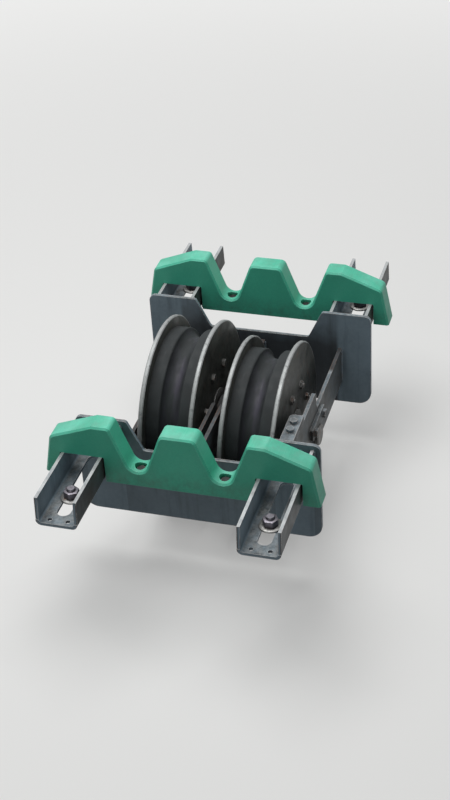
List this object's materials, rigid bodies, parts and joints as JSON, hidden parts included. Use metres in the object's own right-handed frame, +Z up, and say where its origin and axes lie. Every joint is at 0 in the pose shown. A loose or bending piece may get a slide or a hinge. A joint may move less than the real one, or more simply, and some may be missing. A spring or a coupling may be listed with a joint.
{
  "type": "twin rope sheave unit",
  "caption": "Grooved rope sheaves side by side in a welded plate frame with folded channel arms and a plastic rope guard across each end.",
  "frame": {"origin": "middle of the four anchor slots, on the mounting plane under the arms", "axes": "+X uphill along the ropes, +Y to the left when looking uphill, +Z up, square to the track"},
  "size_m": [1.09, 0.606, 0.441],
  "materials": {
    "frame_paint": "satin, worn at the edges",
    "guard_green": "machined, slightly waxy",
    "bolt_steel": "zinc plated, dull",
    "flange_steel": "dark with grease, bright rim",
    "body_alloy": "cast, turned faces",
    "liner_rubber": "polished in the groove by the rope"
  },
  "bodies": {
    "frame": {"cross_plate_lower": "frame_paint", "cross_plate_upper": "frame_paint", "arm_lower_left": "frame_paint", "arm_lower_right": "frame_paint", "arm_upper_left": "frame_paint", "arm_upper_right": "frame_paint", "guard_bar_lower": "frame_paint", "guard_bar_upper": "frame_paint", "guard_lower": "guard_green", "guard_upper": "guard_green", "guard_screws_lower": "bolt_steel", "guard_screws_upper": "bolt_steel", "cheek_outer_left": "frame_paint", "cheek_inner_left": "frame_paint", "cheek_outer_right": "frame_paint", "cheek_inner_right": "frame_paint", "axle_left": "bolt_steel", "axle_right": "bolt_steel", "spacers_left": "bolt_steel", "spacers_right": "bolt_steel", "keeper_left": "frame_paint", "keeper_right": "frame_paint", "lug_right": "frame_paint"},
    "left_sheave": {"hub_left": "body_alloy", "rim_left": "body_alloy", "liner_left": "liner_rubber", "flange_outer_left": "flange_steel", "flange_inner_left": "flange_steel", "sheave_bolts_left": "bolt_steel"},
    "right_sheave": {"hub_right": "body_alloy", "rim_right": "body_alloy", "liner_right": "liner_rubber", "flange_outer_right": "flange_steel", "flange_inner_right": "flange_steel", "sheave_bolts_right": "bolt_steel"}
  },
  "joints": [
    {"name": "left_sheave_spin", "type": "hinge", "parent": "frame", "child": "left_sheave", "pos_m": [-0.004, 0.093, -0.052], "axis": [0, 1, 0], "continuous": true},
    {"name": "right_sheave_spin", "type": "hinge", "parent": "frame", "child": "right_sheave", "pos_m": [-0.018, -0.093, -0.077], "axis": [0, 1, 0], "continuous": true}
  ]
}
